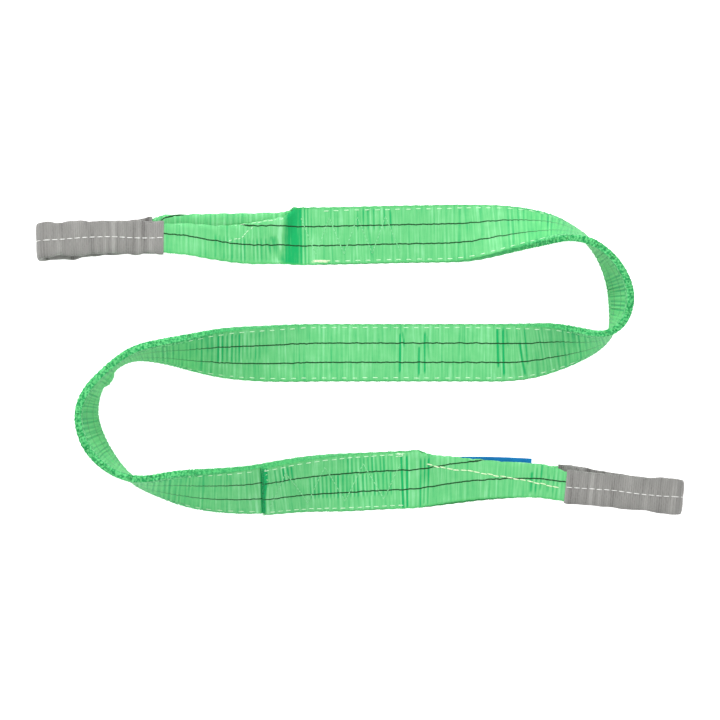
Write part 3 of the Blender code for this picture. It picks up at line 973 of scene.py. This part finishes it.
def leg_rings(eye, d, upper):
    """The rings of a leg's webbing, d from the root."""

    def place(s, across, out):
        columns = HALF_WIDTH + eye.way * across
        distance = eye.way * (s - eye.root) if upper else eye.length - eye.way * (s - eye.root)
        return eye.section(distance, columns, upper, out)

    s = eye.root + eye.way * (d if upper else eye.length - d)
    return webbing_rings(s, place, fill=0)


def crown_rings(eye, bends):
    """The rings of the webbing round the crown."""

    def place(s, across, out):
        bend = (eye.way * (s - eye.root) - eye.straight) / eye.turn
        return eye.crown(bend, HALF_WIDTH + eye.way * across, out)

    return webbing_rings(eye.root + eye.way * (eye.straight + bends * eye.turn), place, fill=0)


def add_strip(name, parts, crossing=None, body=None):
    """A strip of folded webbing. parts are stretches of rings that follow one another."""
    points, web, tone = (np.concatenate(columns) for columns in zip(*parts))
    piece = new_piece(name, points, ring_faces(*points.shape[:2]), green_webbing, web=web, tone=tone)
    make_outward(piece)
    hold(piece, "green_webbing", body, crossing)


def skew_a(d):
    """Eye A's lower leg lies to the left of the upper one at first, and crosses to its right in two steps."""
    return -0.0048 * ramp(d, 0.01, 0.08) + 0.0056 * ramp(d, 0.140, 0.176) + 0.0028 * ramp(d, 0.18, 0.23)


def skew_b(d):
    """Eye B's lower leg lies to the left of the upper one, and comes back under it at the crown."""
    return -0.0050 * ramp(d, 0.01, 0.10) * (1 - ramp(d, 0.150, 0.235))


eye_a = Eye(
    "eye_a",
    root_a,
    0.0,
    FOLD_A,
    base=1.5 * PLY + GAP,
    sleeve_length=0.133,
    skew=skew_a,
    lower_mouth=0.0125,
    creased=1.7,
    upper=[
        (-30, 30, -30),
        (-9, 30, -30),
        (-4, 28.4, -29.6),
        (6, 20.8, -28.6),
        (18.5, 19.2, -28.2),
        (39, 16.0, -27.8),
        (52, 14.2, -26.5),
        (62, 13.5, -25.4),
        (77, 13.1, -23.0),
        (83, 13.5, -22.3),
        (104, 15.0, -18.1),
    ],
    lower=[
        (-30, 30, -30),
        (-8, 30, -30),
        (2, 27.0, -29),
        (10, 25.6, -27),
        (28, 25.8, -25),
        (63, 26.0, -21.5),
        (97, 25.2, -17),
        (131.5, 24.6, -12.5),
    ],
)
eye_b = Eye(
    "eye_b",
    root_b,
    route.length,
    FOLD_B,
    base=2.5 * PLY + GAP + LAYER_GAP,
    sleeve_length=0.123,
    skew=skew_b,
    lower_mouth=-0.0095,
    creased=0.8,
    upper=[
        (-30, 30, -30),
        (-6, 30.2, -30),
        (1, 29.0, -29.6),
        (10, 27.0, -28.2),
        (15, 26.4, -27.3),
        (36, 25.2, -23.3),
        (57, 23.0, -20.6),
        (77, 21.4, -18.5),
        (100, 20.8, -16.4),
        (117, 21.4, -15.0),
        (131, 21.2, -14.3),
        (143, 18.9, -15.0),
    ],
    lower=[
        (-30, 30, -30),
        (-4, 30, -30),
        (10, 28.0, -29),
        (30, 24.0, -26),
        (60, 21.5, -22),
        (110, 18.5, -16),
    ],
)

for eye in (eye_a, eye_b):
    near = np.arange(-LEG_REACH, LEG_REACH + 1e-6, 0.0010)
    far = np.linspace(LEG_REACH, eye.straight, round((eye.straight - LEG_REACH) / 0.0011))
    bends = np.linspace(0, math.pi, 25)[1:-1]
    add_strip(eye.name + "_upper_root", [leg_rings(eye, near, True)], crossing=eye.crossing)
    add_strip(eye.name + "_lower_root", [leg_rings(eye, near, False)], crossing=eye.crossing)
    loop = [leg_rings(eye, far, True), crown_rings(eye, bends), leg_rings(eye, far[::-1], False)]
    add_strip(eye.name + "_loop", loop, body=eye.name)


# ---------------------------------------------------------------- the wear sleeves

WRINKLES = wave_table(8, 0.0055, 0.016, 60)
FOLDS = wave_table(5, 0.020, 0.050, 30)
SLEEVE_GIRTH = 0.080
WRINKLE_HEIGHT = 0.00036
FOLD_HEIGHT = 0.00034
CALM = 0.004  # how far in from the mouths the wrinkles are weaker


def sleeve_outline(count=56, power=0.42):
    """A flattened tube's outline, as (y, depth) over its half width and half height."""
    angle = np.linspace(0, 2 * math.pi, count, endpoint=False)
    c, s = np.cos(angle), np.sin(angle)
    return np.sign(c) * np.abs(c) ** power, np.sign(s) * np.abs(s) ** power


def wear_sleeve(eye):
    """The tube of grey fabric round an eye's crown: an outer and an inner wall, which meet at both mouths."""
    first = eye.mouth
    last = eye.length - first - eye.lower_mouth
    q = np.linspace(first, last, round((last - first) / 0.0010))
    oy, oz = sleeve_outline()
    half_width, half_height = SLEEVE_WIDTH / 2, LEG_HEIGHT / 2
    grid_q, grid_y = np.meshgrid(q, oy * half_width, indexing="ij")
    grid_z = np.broadcast_to(oz * half_height, grid_q.shape)
    side = np.sign(grid_z)
    wave = waves(WRINKLES, grid_q + 0.7 * side, grid_y)
    slow = waves(FOLDS, grid_q + 0.3 * side, grid_y)
    calm = np.minimum(ramp(grid_q, first, first + CALM), 1 - ramp(grid_q, last - CALM, last)) * 0.7 + 0.3
    sewn = 1 - 0.8 * np.exp(-((grid_y / 0.0022) ** 2))
    bump = (WRINKLE_HEIGHT * wave + FOLD_HEIGHT * slow) * calm * sewn * eye.creased
    bump = np.clip(bump, -0.0005, 0.0009)
    widen = 1 + 0.030 * eye.creased * waves(FOLDS, grid_q * 1.1, 0 * grid_q) * calm
    widen = widen * (0.965 + 0.06 * ramp(np.abs(grid_q - eye.length / 2), 0.050, 0.015))
    outer = eye.loop_point(grid_q, grid_y * widen, grid_z + bump * (grid_z / half_height))
    outer[..., 2] = np.maximum(outer[..., 2], 0.0001)
    shrink_y, shrink_z = 1 - SLEEVE_WALL / half_width, 1 - 0.85 * SLEEVE_WALL / half_height
    inner = eye.loop_point(grid_q, grid_y * shrink_y, grid_z * shrink_z)
    round_way = np.broadcast_to(np.arange(len(oy)) / len(oy) * SLEEVE_GIRTH, grid_q.shape)
    web = np.stack([grid_q, round_way, np.ones_like(grid_q)], -1)
    # Painted light and shade along the wrinkles and folds, and painted shade on the lower leg's half of the
    # sleeve, which lies under the upper leg
    under = ramp(grid_q, eye.length / 2 - 0.01, eye.length / 2 + 0.03)
    tone = 0.7 * wave + 0.5 * slow - 0.45 * under
    points = np.concatenate([outer, inner[::-1]])
    web = np.concatenate([web, (web * (1, 1, -1))[::-1]])
    # The inner wall gets painted shade
    tone = np.concatenate([tone, np.full_like(tone, -0.6)])
    faces = ring_faces(len(points), len(oy), closed=True)
    piece = new_piece(eye.name + "_wear_sleeve", points, faces, grey_sleeve, web=web, tone=tone)
    make_outward(piece)
    hold(piece, "grey_sleeve", eye.name)


for eye in (eye_a, eye_b):
    wear_sleeve(eye)


# ---------------------------------------------------------------- stitches


# A stitch's cross-section, as shares of its half width and height, and its points along its length
BEAD = [(-1, 0.0), (-0.8, 0.62), (0, 1.0), (0.8, 0.62), (1, 0.0), (0, -0.8)]
PARTS = np.linspace(0, 1, 6)
THREADS = {
    "white": (white_thread, "white_thread"),
    "sleeve": (sleeve_thread, "white_thread"),
    "cream": (cream_thread, "white_thread"),
    "green": (green_thread, "green_thread"),
    "dark": (dark_thread, "green_thread"),
}


def stitch_mesh(name, thread, stitches, half_width, height, body=None, crossing=None):
    """Stitches as low rounded beads. Each is (points along it, their upward directions)."""
    points, faces = [], []
    for path, normals in stitches:
        count = len(path)
        tangent = unit(np.gradient(path, axis=0))
        sideways = unit(np.cross(normals, tangent))
        swell = np.sqrt(np.clip(1 - np.linspace(-0.96, 0.96, count) ** 4, 0.05, 1))
        start = len(points)
        for p, normal, aside, share in zip(path, normals, sideways, swell):
            for a, b in BEAD:
                points.append(p + a * half_width * share * aside + b * height * share * normal)
        faces += [[start + v for v in f] for f in ring_faces(count, len(BEAD))]
    material, slot = THREADS[thread]
    piece = new_piece(name, np.array(points), faces, material, sharp=80)
    hold(piece, slot, body, crossing)


def upward(path):
    """A stitch of these points that faces straight up."""
    return path, np.broadcast_to(UP, path.shape)


def wobble(amount):
    """A random offset, up to the amount either way."""
    return rng.uniform(-1, 1) * amount


DASH = 0.0052
DASH_ACROSS = 0.0262
DASH_SIZE = (0.00046, 0.00028)  # half width and height
OVERLAP_PITCH = 0.0085
STITCH_LIFT = 0.00004
SUNK = 0.75  # the edge stitches sink into the webbing and lose their white where it stands more than this


def run_dashes(first, last, across, side, layer=0, pitch=DASH_PITCH, sunk=False):
    """Edge stitches along a stretch of the route, on a ply's outer face: the plain or the sunk ones."""
    found = []
    starts = np.arange(math.ceil(first / pitch) * pitch, last - DASH, pitch)
    for start in starts[(standing(starts) > SUNK) == sunk]:
        s = start + DASH * PARTS + wobble(0.00024)
        a = across + wobble(0.00025) + np.linspace(-1, 1, len(PARTS)) * wobble(0.00012)
        out = HALF_PACK + layer * (PLY + LAYER_GAP) + VISUAL_SPLAY * route.splay(s)
        path = route.point(s, a, side * (out + STITCH_LIFT))
        outer = route.point(s, a, side * (out + 0.001))
        found.append((path, unit(outer - path)))
    return found


# A run of stitches reaches one stitch past a joint, so that none is missing there. On the back ply, the last
# ends where the overlap begins.
for crossing, first, last in crossing_lengths():
    final = crossing == FOLD_B - 1
    end = last if final else last + DASH
    back_end = min(last, overlap_start - 0.004) if final else end
    for sunk, name, thread in ((False, "edge_stitches", "white"), (True, "edge_stitches_sunk", "green")):
        stitches = []
        for side, stop in ((1, end), (-1, back_end)):
            for across in (DASH_ACROSS, -DASH_ACROSS):
                stitches += run_dashes(first, stop, across, side, sunk=sunk)
        if stitches:
            stitch_mesh(f"{name}_{crossing}", thread, stitches, *DASH_SIZE, crossing=crossing)
stitches = run_dashes(overlap_start, root_b - 0.018, DASH_ACROSS, -1, 1, OVERLAP_PITCH)
stitches += run_dashes(overlap_start, root_b - 0.012, -DASH_ACROSS, -1, 1, OVERLAP_PITCH)
stitch_mesh("edge_stitches_overlap", "white", stitches, *DASH_SIZE, body="bottom_run")

ZIGZAG_TURNS = 7
ZIGZAG_REACH = 0.019
ZIGZAG_STITCH, ZIGZAG_PITCH = 0.0030, 0.0036
ZIGZAG_SIZE = (0.00055, 0.00030)


def zigzag(name, first, last, side, layer, body):
    """The splice's stitches, one after another along a zigzag over the width."""
    s = np.linspace(first, last, 400)
    a = ZIGZAG_REACH * (1 - 2 * np.abs((s - first) / (last - first) * ZIGZAG_TURNS % 2 - 1))
    out = HALF_PACK + layer * (PLY + LAYER_GAP) + STITCH_LIFT
    line = route.point(s, a, side * (out + route.splay(s)))
    travel = np.concatenate([[0], np.cumsum(np.linalg.norm(np.diff(line, axis=0), axis=1))])
    found = []
    for start in np.arange(0, travel[-1] - ZIGZAG_STITCH, ZIGZAG_PITCH):
        at = start + ZIGZAG_STITCH * PARTS
        found.append(upward(np.stack([np.interp(at, travel, line[:, c]) for c in range(3)], -1)))
    stitch_mesh(name, "green", found, *ZIGZAG_SIZE, body=body)


splice_a_end = route.nearest((42, 131.3))
zigzag("splice_a_zigzag", root_a + 0.012, splice_a_end, 1, 0, "top_run")
zigzag("splice_b_zigzag", overlap_start + 0.006, root_b - 0.014, -1, 1, "bottom_run")


def cut_end():
    """The overlap's heat-cut end: a row of melted knots with short frayed threads beyond it."""
    out = HALF_PACK + PLY + LAYER_GAP

    def thread(at, start, length, drift, depth):
        """A short thread from start, the length along the webbing and the drift over it."""
        s = overlap_start + start + length * PARTS
        return upward(route.point(slanted(s, at), at + drift * PARTS, -(out + depth)))

    knots, fray = [], []
    for a in np.arange(-0.0290, 0.0292, 0.0017):
        at = a + wobble(0.0004)
        knots.append(thread(at, rng.uniform(-0.0009, 0.0006), 0.0024, wobble(0.0004), -0.0003))
    for a in (0.027, 0.021, 0.015, 0.004, -0.003, -0.012, -0.019, -0.026):
        fray.append(thread(a, 0.0034 + rng.uniform(-0.0005, 0.001), 0.0022, wobble(0.0016), 0.0001))
    for a in (-0.0296, -0.0284, -0.0272):
        fray.append(thread(a, rng.uniform(-0.0006, 0.0006) - 0.0012, 0.0030, -0.0012, 0.0001))
    stitch_mesh("overlap_cut_edge", "dark", knots, 0.0010, 0.0007, body="bottom_run")
    stitch_mesh("overlap_fray", "white", fray, 0.00036, 0.0003, body="bottom_run")


cut_end()


def stitch_patch(name, thread, middle, side, layer, body, count, spread, length):
    """Stitches sewn over one another where a seam is locked. middle and spread are (along, across)."""
    found = []
    out = HALF_PACK + layer * (PLY + LAYER_GAP)
    for n in range(count):
        s = middle[0] + wobble(spread[0]) + length * (PARTS - 0.5)
        a = middle[1] + wobble(spread[1]) + wobble(0.0009) * (PARTS - 0.5)
        found.append(upward(route.point(s, a, side * (out + 0.00006 + STITCH_LIFT * (n % 3)))))
    stitch_mesh(name, thread, found, 0.00042, 0.0003, body=body)


patch_a = (route.at_x(-42, 0, right_hinges[0]), DASH_ACROSS)
patch_b = (root_b - 0.0155, DASH_ACROSS)
stitch_patch("splice_a_lock_stitches", "cream", patch_a, 1, 0, "top_run", 16, (0.0085, 0.0011), 0.0060)
stitch_patch("splice_b_lock_stitches", "white", patch_b, -1, 1, "bottom_run", 9, (0.003, 0.0018), 0.004)


def sleeve_stitches(eye):
    """The seam along the middle of a sleeve's upper side."""
    found = []
    for start in np.arange(eye.mouth + 0.001, eye.straight + 0.008, 0.0078):
        q = start + 0.0060 * PARTS
        y = 0.0006 * np.sin(q * 70) + wobble(0.0002)
        depth = np.full_like(q, LEG_HEIGHT / 2 + 0.0002)
        path = eye.loop_point(q, y, depth)
        found.append((path, unit(eye.loop_point(q, y, depth + 0.001) - path)))
    stitch_mesh(eye.name + "_sleeve_stitches", "sleeve", found, 0.00046, 0.00036, body=eye.name)


for eye in (eye_a, eye_b):
    sleeve_stitches(eye)


def leg_stitches(eye, line, length, pitch, loose=0.0003):
    """Stitches on the upper leg along a line of (x, y) places in millimetres. loose is how far one strays."""
    places = (np.array(line, float) - CENTRE[:2]) / 1000
    travel = np.concatenate([[0], np.cumsum(np.linalg.norm(np.diff(places, axis=0), axis=1))])
    found = []
    for start in np.arange(0, travel[-1] - length, pitch):
        at = start + length * PARTS
        xy = np.stack([np.interp(at, travel, places[:, c]) for c in range(2)], -1)
        xy = xy + rng.uniform(-1, 1, 2) * loose
        s = np.array([route.s[np.argmin(np.hypot(route.x - x, route.y - y))] for x, y in xy])
        s = np.linspace(s[0], s[-1], len(s)) if abs(s[-1] - s[0]) > SAMPLE else s
        n = -((np.pad(xy, ((0, 0), (0, 1))) - route.floor(s)) * route.right(s)).sum(-1)
        path = eye.top(eye.way * (s - eye.root), n)
        path[:, :2] = xy
        found.append(upward(path + 2 * STITCH_LIFT * UP))
    return found


# Seams on the eyes' upper legs, in millimetres on the floor
FOLD_SEAM_A = [(-130, 140.5), (-112.5, 142.6), (-91.7, 145.8), (-81, 147.2), (-76, 151)]
CROSS_SEAM_A = [(-135.4, 124), (-125, 127), (-117.7, 133.3), (-111.5, 140.0)]
FOLD_SEAM_B = [
    (70, -107.5),
    (93.7, -113.5),
    (110.4, -114.6),
    (122.9, -116.7),
    (140.6, -119.8),
    (159.4, -122.4),
    (174, -125),
    (192.7, -129.2),
    (208, -132.6),
]
stitches = leg_stitches(eye_a, FOLD_SEAM_A, 0.0050, 0.0058)
stitches += leg_stitches(eye_a, CROSS_SEAM_A, 0.0030, 0.0042, loose=0.0010)
stitch_mesh("eye_a_fold_stitches", "white", stitches, 0.00044, 0.00035, crossing=FOLD_A)
stitches = leg_stitches(eye_b, FOLD_SEAM_B, 0.0064, 0.0070, loose=0.0006)
stitch_mesh("eye_b_fold_stitches", "cream", stitches, 0.00062, 0.00045, crossing=FOLD_B)


# ---------------------------------------------------------------- the label

LABEL_LENGTH = 0.099
LABEL_WIDTH = 0.036
LABEL_THICK = 0.0006
LABEL_START = 0.020
LABEL_SEWN = 0.006
LABEL_SHIFT = 0.0060  # to +Y of the route
LABEL_DRIFT = 0.016  # how much further it lies off the route, for each unit of length
LABEL_CURL = 0.0004
HINGE_GAP = 0.0007


def label_piece(name, first, last, body):
    """A stretch of the label, on the lower leg in the throat of eye B."""
    d = np.linspace(first, last, max(round((last - first) / 0.0012), 3))
    n = np.linspace(-1, 1, 25) * LABEL_WIDTH / 2
    grid_d, grid_n = np.meshgrid(d, n, indexing="ij")
    level = eye_b.heights(grid_d, False)[0] + FOLD_STEP + PLY / 2
    curl = LABEL_CURL * np.sin(grid_d * 160 + grid_n * 60) + 0.0005
    s = eye_b.root + eye_b.way * grid_d
    y = grid_n + LABEL_SHIFT + LABEL_DRIFT * (grid_d - LABEL_START)

    def at(lift):
        z = level + curl + lift
        return route.floor(s) - y[..., None] * route.right(s) + z[..., None] * UP

    points = np.concatenate([at(LABEL_THICK / 2), at(-LABEL_THICK / 2)[:, ::-1]], 1)
    web = np.stack([grid_d, grid_n, np.ones_like(grid_n)], -1)
    web = np.concatenate([web, web[:, ::-1]], 1)
    piece = new_piece(name, points, ring_faces(*points.shape[:2]), blue_label, web=web)
    make_outward(piece)
    hold(piece, "blue_label", body)
    return piece


label_end = LABEL_START + LABEL_LENGTH
label_hinge = LABEL_START + LABEL_SEWN
label_piece("label_sewn_strip", LABEL_START, label_hinge, "eye_b")
flap = label_piece("label_flap_strip", label_hinge + HINGE_GAP, label_end, "label")


# ---------------------------------------------------------------- the CAD nodes, which are all hidden


for node in frame["nodes"]:
    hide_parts(node)


# ---------------------------------------------------------------- floor, light and camera

FLOOR_HALF = 3.0
FLOOR_LEVEL = -0.0002
corners = [(x * FLOOR_HALF, y * FLOOR_HALF, FLOOR_LEVEL) for x, y in ((-1, -1), (1, -1), (1, 1), (-1, 1))]
floor_mesh = bpy.data.meshes.new("floor_plate")
floor_mesh.from_pydata(corners, [], [(0, 1, 2, 3)])
floor_mesh.materials.append(make_floor_material())
floor_plate = new_object("floor_plate", floor_mesh)


def soft_light(name, place, size, power):
    """A round soft light that faces the middle of the floor."""
    light = bpy.data.lights.new(name, "AREA")
    light.shape = "DISK"
    light.size = size
    light.energy = power
    lamp = new_object(name, light)
    lamp.location = place
    lamp.visible_camera = False
    way = -np.array(place, float)
    yaw = math.atan2(way[1], way[0])
    pitch = math.atan2(math.hypot(way[0], way[1]), -way[2])
    lamp.rotation_euler = (pitch, 0, yaw - math.pi / 2)


soft_light("window", (-0.6, 1.7, 1.2), 1.1, 37)
soft_light("ceiling", (0.1, 0.1, 2.4), 2.4, 36)
soft_light("fill", (0.6, -1.6, 1.3), 1.6, 12)
bpy.context.scene.view_settings.view_transform = "Standard"

world = bpy.data.worlds.new("studio")
world.use_nodes = True
background = world.node_tree.nodes["Background"].inputs
background["Color"].default_value = (1, 1, 1, 1)
background["Strength"].default_value = 0.45
bpy.context.scene.world = world

# The camera looks straight down from far off, as nearly no perspective is in view
CAMERA_HEIGHT = 12.0
VIEW_WIDTH = 0.750
camera = bpy.data.cameras.new("camera")
camera.sensor_width = 36
camera.lens = camera.sensor_width * CAMERA_HEIGHT / VIEW_WIDTH
camera_object = new_object("camera", camera)
camera_object.location = (0, 0, CAMERA_HEIGHT)
bpy.context.scene.camera = camera_object
